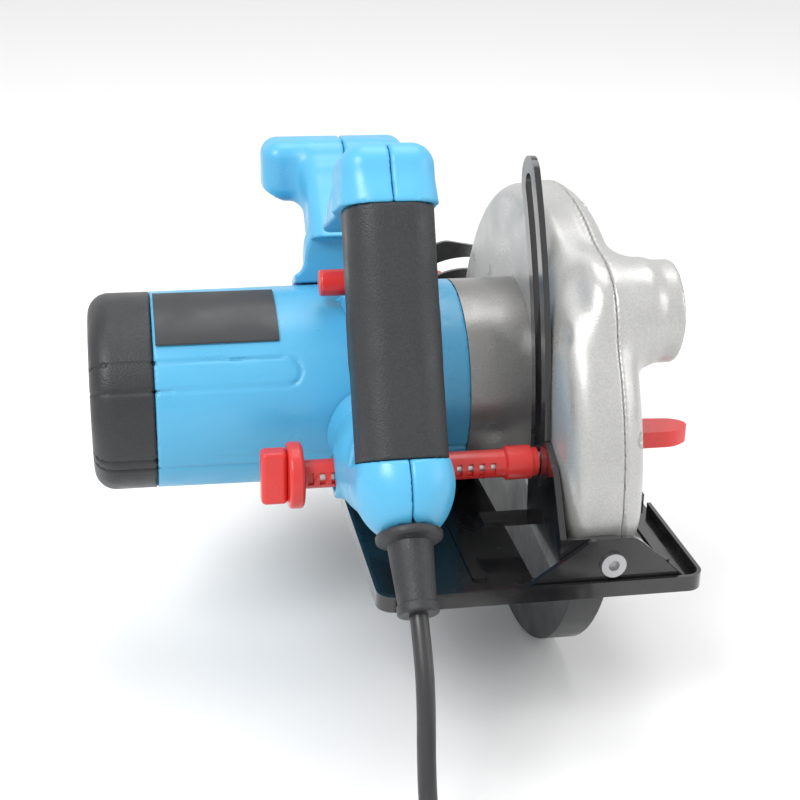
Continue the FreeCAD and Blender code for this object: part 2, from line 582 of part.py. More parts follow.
def guard_castings():
    left, right, radius = "guard_left", "guard_right", "guard_radius"
    dome = rod("X", radius, left, right, 0, "arbor_height")
    dome = soften(dome, 9, lambda edge: edge.Length > 100)
    arc = doc.addObject("Part::Torus", "Column")
    bind(arc, Radius1="guard_radius - column_radius", Radius2="column_radius")
    arc.Angle3 = 58
    arc.Placement = Placement(Vector(), TURN["X"] * Rotation(Vector(0, 0, 1), 90 + 122))
    settle(arc, "column_middle", 0, "arbor_height")
    end = ball("column_radius", "column_middle", "column_radius - guard_radius", "arbor_height")
    bulge = rod("X", "outlet_radius", -4, 27, "outlet_y", "outlet_height")
    bulge = soften(bulge, 6, lambda edge: edge.Length > 100 and edge.CenterOfMass.x > 20)
    collar = rod("X", "outlet_radius - 1.2", 20, "outlet_face", "outlet_y", "outlet_height")
    lug = block("bracket_face + bracket_thickness + 0.5", -9, "knob_y - 10", "knob_y + 10",
                "knob_height - 10", "knob_height + 12")
    hinge = join(block(-18.7, -11.7, 88, "depth_pivot_y", "depth_pivot_height - 6", "depth_pivot_height + 6"),
                 rod("X", 6, -18.7, -11.7, "depth_pivot_y", "depth_pivot_height"))
    outer = join(dome, arc, end, bulge, collar, lug, hinge)
    pillars = [rod("X", 3.2, -8, 12, y, z) for y, z in rim_spots(102.4)]
    drum = cut(rod("X", "guard_radius - guard_rim", "guard_left + guard_wall", "guard_right - guard_wall",
                   0, "arbor_height"), *pillars)
    cavity = join(drum, rod("X", "outlet_bore", "outlet_floor", "outlet_face + 1", "outlet_y", "outlet_height"))
    below = block(-40, 40, -84, 99.5, -90, "guard_bottom")
    front_below = block(-12, 40, 99, 120, -90, "guard_bottom")
    case_bore = rod("X", "motor_radius + 0.05", -30, -13.9, 0, "motor_height")
    nose_bore = rod("X", "nose_radius + 4", -18, -9, 0, "arbor_height")
    bolt_bore = rod("X", "bolt_radius + running", -30, -10, "knob_y", "knob_height")
    pin_bore = rod("X", 3.1, -30, 0, "depth_pivot_y", "depth_pivot_height")
    access = rod("X", 43, "guard_right - 4", "guard_right + 1", 0, "arbor_height")
    lower_access = block(8, 40, -43, 43, 0, "arbor_height")
    chute_floor = block(-40, 40, -150, -84, -90, 8)
    screw_bores = [rod("X", 1.55, -3.5, 12, y, z) for y, z in rim_spots(101.2)]
    head_bores = [rod("X", 2.75, 9.4, 20, y, z) for y, z in rim_spots(101.2)]
    body = cut(outer, cavity, below, front_below, case_bore, nose_bore, bolt_bore, pin_bore, access, lower_access,
               chute_floor, *screw_bores, *head_bores)
    node("upper_guard", common(body, block(-60, "guard_split", -130, 160, -5, 160)))
    node("guard_cover", common(body, block("guard_split", 60, -130, 160, -5, 160)))


def lower_guard():
    def slice_of(radius, start, end):
        wedge = doc.addObject("Part::Cylinder", "Wedge")
        bind(wedge, Radius=radius, Height=f"({end}) - ({start})")
        wedge.Angle = size("lower_sweep")
        turn = Rotation(Vector(0, 1, 0), 90) * Rotation(Vector(0, 0, 1), 90 + size("lower_start"))
        wedge.Placement = Placement(Vector(), turn)
        return settle(wedge, start, 0, "arbor_height")
    rim = slice_of("lower_radius", "lower_left", "lower_right")
    channel = rod("X", "lower_rim", "lower_left + lower_wall", "lower_right - lower_wall", 0, "arbor_height")
    left_hub = rod("X", 30, -8.3, "lower_left + lower_wall", 0, "arbor_height")
    right_hub = rod("X", 36, "lower_right - lower_wall", "lower_right", 0, "arbor_height")
    left_bore = rod("X", "nose_radius + running", -9, 0, 0, "arbor_height")
    right_bore = rod("X", 25, 0, 8, 0, "arbor_height")
    node("lower_guard", cut(join(cut(rim, channel), left_hub, right_hub), left_bore, right_bore))
    bent = [(-27, 24, 2), (-27, 40, 3), (-52, 49, 4), (-66, 49, 4), (-66, 34, 6), (-58, 27, 6)]
    arm = plate("YZ", 15, 3, rounded(bent))
    root = plate("YZ", 6.5, 8.5, rounded([(-27.5, 25, 2), (-27.5, 38, 2), (-34, 38, 2), (-34, 25, 2)]))
    boss = rod("X", 6.5, 18, 24, -58, "arbor_height + 5")
    node("guard_lever_arm", join(arm, root, boss))
    tongue = [(18, -52), (26, -50.5, 6), (42, -52, 10), (50.5, -58, 5), (40, -66, 12), (18, -66)]
    paddle = plate("XY", 39.6, 7, rounded(tongue))
    node("guard_lever", paddle)


# ---- handle: two shells split on the handle plane, round bars joined by balls ----

GRIP = [(-103, 57), (-81.5, 99), (-62, 143)]
HANDLE_SCREWS = [(-84, 33), (-50, 38), (-50, 151), (12, 98), (50, 127)]
HANDLE_BARS = [
    ([(-109, 46), (-103, 57), (-81.5, 99), (-62, 143), (-54, 150)], [18, 16, 15.5, 16.5, 18]),
    ([(-54, 150), (-30, 128), (-12, 104), (0, 94)], [18, 15, 14.5, 17]),
    ([(0, 94), (22, 108), (46, 124), (58, 130)], [17, 15.5, 14, 13.5]),
    ([(-109, 46), (-75, 43), (-34, 44)], [18, 19, 19]),
]


def chain(points, radii, inset):
    """Bars and balls through (y, z) points in the handle plane, thinner by an inset."""
    x = size("handle_plane")
    radii = [radius - inset for radius in radii]
    things = [ball(radius, "handle_plane", y, z) for (y, z), radius in zip(points, radii)]
    for n in range(len(points) - 1):
        things.append(bar(radii[n], radii[n + 1], (x, *points[n]), (x, *points[n + 1])))
    return join(*things)


def handle_solid(inset):
    bars = [chain(points, radii, inset) for points, radii in HANDLE_BARS]
    radius = 13 - inset
    horn = join(rod("X", radius, -105, -60, 58, 130), ball(radius, -105, 58, 130), ball(radius, -60, 58, 130))
    half = 9 - inset
    web = block(f"handle_plane - {half}", f"handle_plane + {half}", -36 + inset, -10, 44, 100 - inset)
    half = 21 - inset
    stem = block(f"handle_plane - {half}", f"handle_plane + {half}", -5 + inset, 34 - inset, 70, 106 - inset)
    return join(*bars, horn, web, stem)


def handle():
    boss = rod("X", 10.3, -103, -62.5, "knob_y", "knob_height")
    collar = rod("X", 8, -97, -90, -16, 100)
    pillars = [rod("X", 4.6, "handle_plane - 24", "handle_plane + 24", y, z) for y, z in HANDLE_SCREWS]
    guide = rod("X", 9, -98, -66, "knob_y", "knob_height")
    skin = cut(join(handle_solid(0), boss, collar), cut(handle_solid(size("shell_wall")), guide, *pillars))
    screw_bores = [rod("X", 1.7, "handle_plane - 10", "handle_plane + 7", y, z) for y, z in HANDLE_SCREWS]
    head_bores = [rod("X", 3.5, "handle_plane + 5.9", "handle_plane + 30", y, z) for y, z in HANDLE_SCREWS]
    motor = rod("X", 43.1, -200, -40, 0, "motor_height")
    knob_bore = rod("X", 6.2, -110, -50, "knob_y", "knob_height")
    button_slot = rod("X", 5.8, -104, -84, -16, 100)
    gland = sleeve_rod(8.2, -8, 20)
    seat = sleeve_rod(13, 0, 20)
    shells = cut(skin, motor, knob_bore, trigger_block(0.4, 5), button_slot, gland, seat,
                 grip_sleeve(19, 14.4), *screw_bores, *head_bores)
    node("handle_left", common(shells, block(-200, "handle_plane", -200, 200, -100, 200)))
    node("handle_right", common(shells, block("handle_plane", 0, -200, 200, -100, 200)))


def grip_sleeve(outer, inner):
    """A tube round the grip between two planes square to it."""
    (y0, z0), (y1, z1), (y2, z2) = GRIP
    x = size("handle_plane")
    things = []
    for ya, za, yb, zb in ((y0, z0, y1, z1), (y1, z1, y2, z2)):
        for radius in (outer, inner):
            things.append(bar(radius, radius, (x, ya, za), (x, yb, zb)))
    middle = [ball(outer, "handle_plane", y1, z1), ball(inner, "handle_plane", y1, z1)]
    return cut(join(things[0], things[2], middle[0]), join(things[1], things[3], middle[1]))


def grip_cover():
    node("grip_cover", cut(grip_sleeve(16.6, 14.5), trigger_block(0.4, 5)))


def trigger_block(gap, travel):
    """The trigger's body near the top of the grip, grown by a gap all round and backwards by its travel."""
    way = Rotation(Vector(1, 0, 0), -25)
    thing = doc.addObject("Part::Box", "Trigger")
    bind(thing, Length=12 + 2 * gap, Width=21 + 2 * gap + travel, Height=32 + 2 * gap)
    corner = way.multVec(Vector(-6 - gap, 3 - gap - travel, -16 - gap))
    thing.Placement = Placement(Vector(size("handle_plane"), -70, 124) + corner, way)
    return thing


def controls():
    node("trigger", soften(trigger_block(0, 0), 2.5, lambda edge: True))
    way = Rotation(Vector(1, 0, 0), -25)
    switch = doc.addObject("Part::Box", "Switch")
    bind(switch, Length=13, Width=7.5, Height=26)
    corner = way.multVec(Vector(-6.5, -10, -14))
    switch.Placement = Placement(Vector(size("handle_plane"), -70, 124) + corner, way)
    node("switch_module", switch)
    button = rod("X", 5.5, -102, -86, -16, 100)
    button = soften(button, 1.2, lambda edge: edge.CenterOfMass.x < -100 and edge.Length > 20)
    node("lock_off_button", button)


def sleeve_rod(radius, start, end):
    """A round bar on the strain relief's axis, start and end measured from its collar."""
    way = Vector(0, -0.7071, -0.7071)
    foot = Vector(size("handle_plane"), -121, 36)
    thing = doc.addObject("Part::Cylinder", "Bar")
    bind(thing, Radius=radius, Height=end - start)
    thing.Placement = Placement(foot + way * start, Rotation(Vector(0, 0, 1), way))
    return thing


def strain_relief():
    body = doc.addObject("PartDesign::Body", "Relief")
    outline = [(-7, 0), (-7, 8), (0, 8), (0, 12.6, 1), (3, 12.6, 1.5), (4.5, 8.6), (27, 7.1), (27, 7.8, 0.5),
               (31, 7.8, 1), (31, 0)]
    sketch = sketched(body, "XY", [rounded(outline)])
    spin = body.newObject("PartDesign::Revolution", "Spin")
    spin.Profile = sketch
    spin.ReferenceAxis = (sketch, ["H_Axis"])
    spin.Angle = 360
    body.Tip = spin
    along = Rotation(Vector(1, 0, 0), Vector(0, -1, -1))
    body.Placement = Placement(Vector(size("handle_plane"), -121, 36), along)
    node("strain_relief", body)


def label():
    band = cut(rod("X", 43.2, -170, -120, 0, "motor_height"), rod("X", 42.75, -171, -119, 0, "motor_height"))
    window = block(-170, -120, -30, -1, 80, 100)
    node("rating_label", common(band, window))


def screws():
    heads = [join(rod("X", 3.2, "handle_plane + 6", "handle_plane + 8.5", y, z),
                  rod("X", 1.6, "handle_plane - 9", "handle_plane + 6.5", y, z)) for y, z in HANDLE_SCREWS]
    node("handle_screws", join(*heads))
    ends = [join(rod("X", 3.2, -197, -194.5, y, "motor_height"), rod("X", 1.6, -195, -166, y, "motor_height"))
            for y in CAP_SCREWS]
    node("cap_screws", join(*ends))
    flange = [join(rod("X", 3, -53, -50, y, z), rod("X", 1.9, -50.5, -36, y, z)) for y, z in CASE_SCREWS]
    node("gear_case_screws", join(*flange))
    rim = [join(rod("X", 2.5, 9.5, 11.4, y, z), rod("X", 1.5, -3, 10, y, z)) for y, z in rim_spots(101.2)]
    node("guard_cover_screws", join(*rim))


# ---- mains cord: hangs from the strain relief to the floor, then lies in a tied coil ----

CORD_LEAD = [(-82.6, -142.9, 14.1), (-82.6, -154.2, 2.8), (-82.9, -162.2, -12.2), (-83.3, -166.3, -28.7),
             (-83.7, -173.2, -44.2), (-84, -185, -56.4), (-84.1, -200.1, -64.1), (-84, -216.8, -67.5),
             (-84, -226, -67.5)]
CORD_TAIL = [(-30, -280, -60.3), (-21.5, -280.4, -61.6), (-12.5, -282, -62.4), (-3.5, -284.4, -61.4),
             (5, -286, -59.4)]


def cord_tube(points):
    """Straight runs joined by tangent arcs, each arc as large as its two runs allow."""
    corners = [Vector(*point) for point in points]
    edges = []
    start = corners[0]
    for before, here, after in zip(corners, corners[1:], corners[2:]):
        back, ahead = (before - here), (after - here)
        reach = 0.45 * min(back.Length, ahead.Length)
        half = (math.pi - back.getAngle(ahead)) / 2
        radius = reach / math.tan(half)
        back, ahead = back.normalize(), ahead.normalize()
        middle = here + (back + ahead).normalize() * (radius / math.cos(half) - radius)
        print("cord bend radius", round(radius, 1))
        edges.append(Part.LineSegment(start, here + back * reach).toShape())
        edges.append(Part.Arc(here + back * reach, middle, here + ahead * reach).toShape())
        start = here + ahead * reach
    edges.append(Part.LineSegment(start, corners[-1]).toShape())
    path = Part.Wire(edges)
    section = Part.Wire([Part.makeCircle(size("cord_radius"), corners[0], corners[1] - corners[0])])
    tube = doc.addObject("Part::Feature", "Tube")
    tube.Shape = path.makePipeShell([section], True, False)
    expected = math.pi * size("cord_radius") ** 2 * path.Length
    print("cord run", round(path.Length), "volume ratio", round(tube.Shape.Volume / expected, 4))
    return tube


def cord():
    node("cord_lead", cord_tube(CORD_LEAD))
    node("cord_tail", cord_tube(CORD_TAIL))
    x, y = -30, -226
    outer = "coil_inner + coil_pitch * coil_turns + cord_radius"
    top = "floor_level + 4 * cord_radius + 0.2"
    node("cord_coil", cut(rod("Z", outer, "floor_level", top, x, y),
                          rod("Z", "coil_inner - cord_radius", "floor_level - 1", "floor_level + 16", x, y)))
    inside, outside = x + 24.5, x + 59
    loop = cut(block(inside, outside, y - 4, y + 4, "floor_level", "floor_level + 15"),
               block(inside + 1, outside - 1, y - 5, y + 5, "floor_level + 0.7", "floor_level + 14"))
    node("cord_tie", loop)
    body = plate("XY", -71, 24, rounded([(27, -302, 5), (51, -304, 8), (51, -268, 8), (27, -270, 5)]))
    body = soften(body, 4, lambda edge: abs(abs(edge.CenterOfMass.z + 59) - 12) < 0.1)
    neck = doc.addObject("Part::Cone", "Neck")
    bind(neck, Radius1=5.5, Radius2=10, Height=24)
    neck.Placement = Placement(Vector(5, -286, -59.4), TURN["X"])
    pins = [rod("X", 2.4, 50, 70, -286 + side * 9.5, -59) for side in (-1, 1)]
    node("mains_plug", join(body, neck, *pins))


if __name__ == "__main__":
    base_plate()
    base_brackets()
    fence_guide()
    depth_bracket()
    front_bracket()
    depth_knob()
    motor_shell()
    stator()
    brushes()
    armature()
    gears()
    spindle()
    saw_blade()
    bearings()
    gear_case()
    guard_castings()
    lower_guard()
    handle()
    grip_cover()
    controls()
    strain_relief()
    label()
    screws()
    cord()

doc.recompute()
faulty = [thing.Name for thing in doc.Objects if "Invalid" in thing.State or "Error" in thing.State]
faulty += [thing.Label for thing in nodes if thing.Shape.isNull() or not thing.Shape.isValid()]
if faulty:
    raise RuntimeError(f"not built: {faulty}")
os.makedirs("parts", exist_ok=True)
for thing in nodes:
    box = thing.Shape.BoundBox
    spans = [round(v, 1) for v in (box.XMin, box.XMax, box.YMin, box.YMax, box.ZMin, box.ZMax)]
    print(thing.Label, len(thing.Shape.Solids), round(thing.Shape.Volume), spans)
    thing.Shape.exportStep(f"parts/{thing.Label}.step")
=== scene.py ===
import json
import math
import bpy
import numpy as np
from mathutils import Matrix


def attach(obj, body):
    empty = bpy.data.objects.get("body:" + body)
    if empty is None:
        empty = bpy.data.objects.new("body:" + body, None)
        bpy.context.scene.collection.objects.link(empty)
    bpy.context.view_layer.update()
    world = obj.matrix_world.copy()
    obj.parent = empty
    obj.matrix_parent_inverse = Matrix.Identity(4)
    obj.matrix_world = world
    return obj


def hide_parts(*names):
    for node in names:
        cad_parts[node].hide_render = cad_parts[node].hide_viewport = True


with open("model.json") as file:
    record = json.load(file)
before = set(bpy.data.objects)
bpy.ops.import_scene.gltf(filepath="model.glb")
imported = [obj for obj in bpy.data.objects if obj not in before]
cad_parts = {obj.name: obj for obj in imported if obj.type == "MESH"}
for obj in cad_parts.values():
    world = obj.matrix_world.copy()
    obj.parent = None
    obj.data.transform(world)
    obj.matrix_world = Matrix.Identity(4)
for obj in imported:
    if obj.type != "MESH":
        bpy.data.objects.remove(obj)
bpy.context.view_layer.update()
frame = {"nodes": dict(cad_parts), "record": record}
import openvdb
from mathutils import Matrix, Vector

# Hand-held circular saw. Shapes are written in millimetres and scaled to metres when they become meshes.

MM = 0.001
FLOOR = -71.0
ARBOR_Z = 27.5
MOTOR_Z = 50.0
PLANE = -82.3          # the plane on which the two handle shells meet
KNOB_Y, KNOB_Z = -72.0, 39.5
ARBOR_AT = (0, ARBOR_Z)
MOTOR_AT = (0, MOTOR_Z)
KNOB_AT = (KNOB_Y, KNOB_Z)
BUTTON_AT = (-16, 100)
# The side of a grid cell in each sculpted mesh.
CELL = {"handle": 1.15, "rubber": 1.0, "guard": 1.2, "motor": 1.25, "cap": 1.0}


# ---- distance fields: each takes points (n, 3) and gives the signed distance to a surface ----

def rotation(axis, degrees):
    """Columns are the turned axes."""
    return np.array(Matrix.Rotation(math.radians(degrees), 3, axis))


def rounded(q, radius):
    """Distance to a box, from how far a point lies past it on each axis, less the radius of its edges."""
    outside = np.linalg.norm(np.maximum(q, 0), axis=1)
    return outside + np.minimum(q.max(axis=1), 0) - radius


def brick(centre, half, radius=0.5, turn=None):
    centre = np.array(centre, float)
    half = np.array(half, float) - radius

    def field(p):
        q = p - centre
        if turn is not None:
            q = q @ turn
        return rounded(np.abs(q) - half, radius)
    return field


def disc(axis, centre, radius, start, end, round_edge=0.5):
    """A cylinder along axis 0, 1 or 2 from start to end; centre holds its other two coordinates."""
    across = [n for n in range(3) if n != axis]
    middle, half = (start + end) / 2, (end - start) / 2

    def field(p):
        reach = np.hypot(p[:, across[0]] - centre[0], p[:, across[1]] - centre[1]) - radius + round_edge
        depth = np.abs(p[:, axis] - middle) - half + round_edge
        return rounded(np.stack([reach, depth], axis=1), round_edge)
    return field


def capsule(a, b, radius_a, radius_b=None):
    a, b = np.array(a, float), np.array(b, float)
    radius_b = radius_a if radius_b is None else radius_b
    run = b - a

    def field(p):
        share = np.clip((p - a) @ run / (run @ run), 0, 1)
        from_axis = np.linalg.norm(p - a - share[:, None] * run, axis=1)
        return from_axis - radius_a - (radius_b - radius_a) * share
    return field


def beam(a, b, wide_a, deep_a, wide_b, deep_b, radius, middle=PLANE):
    """A bar of rounded rectangular section between (y, z) points: wide along X, deep in the YZ plane."""
    a, b = np.array(a, float), np.array(b, float)
    length = np.linalg.norm(b - a)
    way = (b - a) / length

    def field(p):
        y, z = p[:, 1] - a[0], p[:, 2] - a[1]
        along = y * way[0] + z * way[1]
        share = np.clip(along / length, 0, 1)
        q = np.stack([np.abs(p[:, 0] - middle) - wide_a - (wide_b - wide_a) * share,
                      np.abs(z * way[0] - y * way[1]) - deep_a - (deep_b - deep_a) * share,
                      np.abs(along - length / 2) - length / 2], axis=1) + radius
        return rounded(q, radius)
    return field


def hoop(x, y, z, major, minor, start, end):
    """A torus about a line along X, kept between two angles from +Y towards +Z, with round ends."""
    start, end = math.radians(start), math.radians(end)

    def field(p):
        turn = np.clip(np.arctan2(p[:, 2] - z, p[:, 1] - y) % (2 * math.pi), start, end)
        nearest = np.stack([np.full(len(p), x), y + major * np.cos(turn), z + major * np.sin(turn)], axis=1)
        return np.linalg.norm(p - nearest, axis=1) - minor
    return field


def half_space(point, normal):
    """Everything behind a plane: the normal points out of it."""
    point, normal = np.array(point, float), np.array(normal, float)
    normal = normal / np.linalg.norm(normal)
    return lambda p: (p - point) @ normal


def union(*fields):
    """What lies in any of the fields."""
    return lambda p: np.minimum.reduce([f(p) for f in fields])


def melt(k, *fields):
    """A union with fillets of about k."""
    def field(p):
        total = fields[0](p)
        for f in fields[1:]:
            other = f(p)
            h = np.maximum(k - np.abs(total - other), 0) / k
            total = np.minimum(total, other) - h * h * k / 4
        return total
    return field


def carve(base, *tools, k=0.0):
    """The base less each tool, with edges softened over about k."""
    def field(p):
        total = base(p)
        for tool in tools:
            other = -tool(p)
            if k:
                h = np.maximum(k - np.abs(total - other), 0) / k
                total = np.maximum(total, other) + h * h * k / 4
            else:
                total = np.maximum(total, other)
        return total
    return field


def common(*fields):
    """What lies in all of the fields."""
    return lambda p: np.maximum.reduce([f(p) for f in fields])


def groove(base, wall, half, depth):
    """Cut a channel of a half width along the zero of another field, where it meets the surface."""
    def field(p):
        d = base(p)
        return np.maximum(d, np.minimum(half - np.abs(wall(p)), d + depth))
    return field


# ---- fields to meshes ----

def sampled(field, low, high, step):
    """Values on a grid; only blocks near the surface are worked out in full."""
    side = 6
    counts = [side * math.ceil((b - a) / step / side) for a, b in zip(low, high)]
    blocks = [n // side for n in counts]
    index = np.stack(np.meshgrid(*[np.arange(n) for n in blocks], indexing="ij"), axis=-1)
    index = index.reshape(-1, 3)
    corner = np.array(low, float)
    centres = corner + (index * side + (side - 1) / 2) * step
    rough = field(centres)
    values = np.sign(rough).astype(np.float32)
    near = np.abs(rough) < side * step * 1.1        # past the block's corners
    inner = np.stack(np.meshgrid(*[np.arange(side)] * 3, indexing="ij"), axis=-1).reshape(-1, 3)
    points = corner + ((index[near] * side)[:, None, :] + inner[None]) * step
    fine = np.repeat(values[:, None], side ** 3, axis=1)
    fine[near] = field(points.reshape(-1, 3)).reshape(-1, side ** 3)
    grid = fine.reshape(*blocks, side, side, side).transpose(0, 3, 1, 4, 2, 5).reshape(*counts)
    return np.ascontiguousarray(grid, dtype=np.float32)


def sculpt(name, field, low, high, step, material, body, slot, *nodes):
    """Mesh the zero of a field inside a box, then bring each vertex closer to it in two steps."""
    nudge, longest_move, least_slope = step * 0.05, step * 0.4, 0.2
    level = openvdb.FloatGrid(1.0)
    level.copyFromArray(sampled(field, low, high, step))
    points, triangles, quads = level.convertToPolygons(isovalue=0.0, adaptivity=0.0)
    points = points.astype(float) * step + np.array(low, float)
    for _ in range(2):
        here = field(points)
        slope = np.stack([(field(points + nudge * np.eye(3)[n]) - here) / nudge for n in range(3)], axis=1)
        steep = np.maximum((slope * slope).sum(axis=1), least_slope)
        points -= np.clip(here / steep, -longest_move, longest_move)[:, None] * slope
    mesh = bpy.data.meshes.new(name)
    faces = [face[::-1] for face in quads.tolist() + triangles.tolist()]
    mesh.from_pydata((points * MM).tolist(), [], faces)
    mesh.validate()
    place(name, mesh, material, body, slot, *nodes)


def place(name, mesh, material, body, slot, *nodes):
    """Put a mesh in the scene on its body, in the stead of the named nodes."""
    mesh.shade_smooth()
    piece = bpy.data.objects.new(name, mesh)
    bpy.context.scene.collection.objects.link(piece)
    mesh.materials.append(material)
    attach(piece, body)
    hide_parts(*nodes)


# ---- materials ----

ROUGH_RANGE = 0.12      # how far the roughness wanders either way


def material(name, colour, roughness, metallic=0.0, grain=900.0, bump=0.15, mottle=0.06, speckle=0.0,
             stretch=(1, 1, 1), coat=0.0):
    """A surface with fine grain, slow colour variation and, where asked, bright and dark speckles."""
    made = bpy.data.materials.new(name)
    made.use_nodes = True
    tree = made.node_tree
    link = tree.links.new
    shader = tree.nodes["Principled BSDF"]
    shader.inputs["Metallic"].default_value = metallic
    shader.inputs["Coat Weight"].default_value = coat
    shader.inputs["Coat Roughness"].default_value = 0.08
    place_in = tree.nodes.new("ShaderNodeTexCoord")
    scaled = tree.nodes.new("ShaderNodeMapping")
    scaled.inputs["Scale"].default_value = stretch
    link(place_in.outputs["Object"], scaled.inputs["Vector"])

    def noise(scale, detail):
        texture = tree.nodes.new("ShaderNodeTexNoise")
        texture.inputs["Scale"].default_value = scale
        texture.inputs["Detail"].default_value = detail
        link(scaled.outputs["Vector"], texture.inputs["Vector"])
        return texture.outputs["Fac"]

    def ramp(source, stops):
        table = tree.nodes.new("ShaderNodeValToRGB")
        ends = table.color_ramp.elements
        ends[0].position, ends[0].color = stops[0]
        ends[1].position, ends[1].color = stops[-1]
        for position, tint in stops[1:-1]:
            table.color_ramp.elements.new(position).color = tint
        link(source, table.inputs["Fac"])
        return table.outputs["Color"]

    def shade(amount):
        return tuple(min(1.0, max(0.0, channel * amount)) for channel in colour) + (1.0,)

    slow = ramp(noise(18.0, 3.0), [(0.3, shade(1 - mottle)), (0.7, shade(1 + mottle))])
    base = slow
    if speckle:
        flecks = [(0.36, shade(1 - speckle)), (0.5, shade(1.0)), (0.66, shade(1 + speckle))]
        fine = ramp(noise(grain * 0.7, 1.0), flecks)
        mix = tree.nodes.new("ShaderNodeMix")
        mix.data_type = "RGBA"
        mix.inputs["Factor"].default_value = 0.65
        link(slow, mix.inputs["A"])
        link(fine, mix.inputs["B"])
        base = mix.outputs["Result"]
    link(base, shader.inputs["Base Color"])
    low = max(0.02, roughness - ROUGH_RANGE)
    high = min(1.0, roughness + ROUGH_RANGE)
    wear = ramp(noise(60.0, 4.0), [(0.3, (low, low, low, 1)), (0.7, (high, high, high, 1))])
    link(wear, shader.inputs["Roughness"])
    relief = tree.nodes.new("ShaderNodeBump")
    relief.inputs["Strength"].default_value = bump
    relief.inputs["Distance"].default_value = 0.0004
    link(noise(grain, 2.0), relief.inputs["Height"])
    link(relief.outputs["Normal"], shader.inputs["Normal"])
    return made


BLUE = material("blue_plastic", (0.080, 0.395, 0.640), 0.36, grain=2600, bump=0.10, mottle=0.05, coat=0.05)
RUBBER = material("grip_rubber", (0.020, 0.021, 0.023), 0.50, grain=1500, bump=0.55, mottle=0.10,
                  speckle=0.25)
CAP = material("cap_plastic", (0.018, 0.019, 0.021), 0.44, grain=1500, bump=0.45, mottle=0.10, speckle=0.2)
CAST = material("cast_aluminium", (0.285, 0.278, 0.270), 0.36, metallic=0.6, grain=1800, bump=0.14,
                mottle=0.05, speckle=0.10)
# The same cast aluminium as the gear case, in a lighter tone, for the guard and its cover.
LIGHTER_CAST = material("silvered_casting", (0.46, 0.457, 0.445), 0.34, metallic=0.45, grain=1800, bump=0.14,
                 mottle=0.05, speckle=0.09)
RED = material("red_plastic", (0.62, 0.028, 0.024), 0.32, grain=2200, bump=0.08, mottle=0.05, coat=0.15)
BLACK = material("black_paint", (0.010, 0.010, 0.011), 0.20, grain=260, bump=0.12, mottle=0.2, coat=0.6)
DARK = material("dark_paint", (0.024, 0.025, 0.027), 0.38, grain=500, bump=0.15, mottle=0.15)
STEEL = material("turned_steel", (0.50, 0.50, 0.51), 0.34, metallic=1.0, grain=500, bump=0.03, mottle=0.08)
BRIGHT = material("polished_steel", (0.68, 0.68, 0.69), 0.16, metallic=1.0, grain=700, bump=0.05)
COPPER = material("enamelled_copper", (0.62, 0.24, 0.09), 0.34, metallic=0.9, grain=300, bump=0.6,
                  stretch=(9, 1, 1))
LAMINATION = material("laminations", (0.30, 0.30, 0.32), 0.42, metallic=0.9, grain=260, bump=0.7,
                      stretch=(12, 1, 1))
CARBON = material("carbon", (0.028, 0.028, 0.028), 0.62, grain=1800, bump=0.3, mottle=0.2)
NYLON = material("black_nylon", (0.018, 0.018, 0.020), 0.46, grain=1800, bump=0.25, mottle=0.15)
SHEATH = material("cord_sheath", (0.024, 0.024, 0.026), 0.40, grain=1600, bump=0.15, mottle=0.15)
LABEL = material("label_stock", (0.022, 0.024, 0.027), 0.42, grain=2600, bump=0.06, mottle=0.08)
PAINTED = {"blue": BLUE, "rubber": RUBBER, "cap": CAP, "cast": CAST, "red": RED, "black_steel": BLACK,
           "dark_steel": DARK, "steel": STEEL, "bearing": BRIGHT, "copper": COPPER, "lamination": LAMINATION,
           "carbon": CARBON, "nylon": NYLON, "pvc": SHEATH, "foil": LABEL}


def paint_nodes():
    """Give every imported node the material that its slot stands for."""
    for part in frame["record"]["subparts"]:
        for slot in frame["nodes"][part["node"]].material_slots:
            slot.material = PAINTED[part["material_slot"]]


# ---- camera, light and floor ----

def camera():
    """The view from behind the saw, on its motor side and above it."""
    position = Vector((-181.1, -606.1, 288.4)) * MM
    azimuth, elevation, roll = (math.radians(v) for v in (10.97, 21.96, 1.34))
    level_share = math.cos(elevation)
    ahead = Vector((math.sin(azimuth) * level_share, math.cos(azimuth) * level_share, -math.sin(elevation)))
    level = Vector((math.cos(azimuth), -math.sin(azimuth), 0))
    upright = level.cross(ahead)
    right = level * math.cos(roll) + upright * math.sin(roll)
    up = upright * math.cos(roll) - level * math.sin(roll)
    eye = bpy.data.objects.new("camera", bpy.data.cameras.new("camera"))
    eye.data.lens = 67.7
    eye.data.sensor_width = 36
    eye.data.clip_end = 20
    eye.matrix_world = Matrix.Translation(position) @ Matrix((right, up, -ahead)).transposed().to_4x4()
    bpy.context.scene.collection.objects.link(eye)
    bpy.context.scene.camera = eye


def lamp(name, position, aim, side, power):
    """A square area light that faces the point it aims at."""
    light = bpy.data.lights.new(name, "AREA")
    light.shape = "SQUARE"
    light.size = side
    light.energy = power
    made = bpy.data.objects.new(name, light)
    made.location = position
    made.rotation_euler = (Vector(aim) - Vector(position)).to_track_quat("-Z", "Y").to_euler()
    bpy.context.scene.collection.objects.link(made)


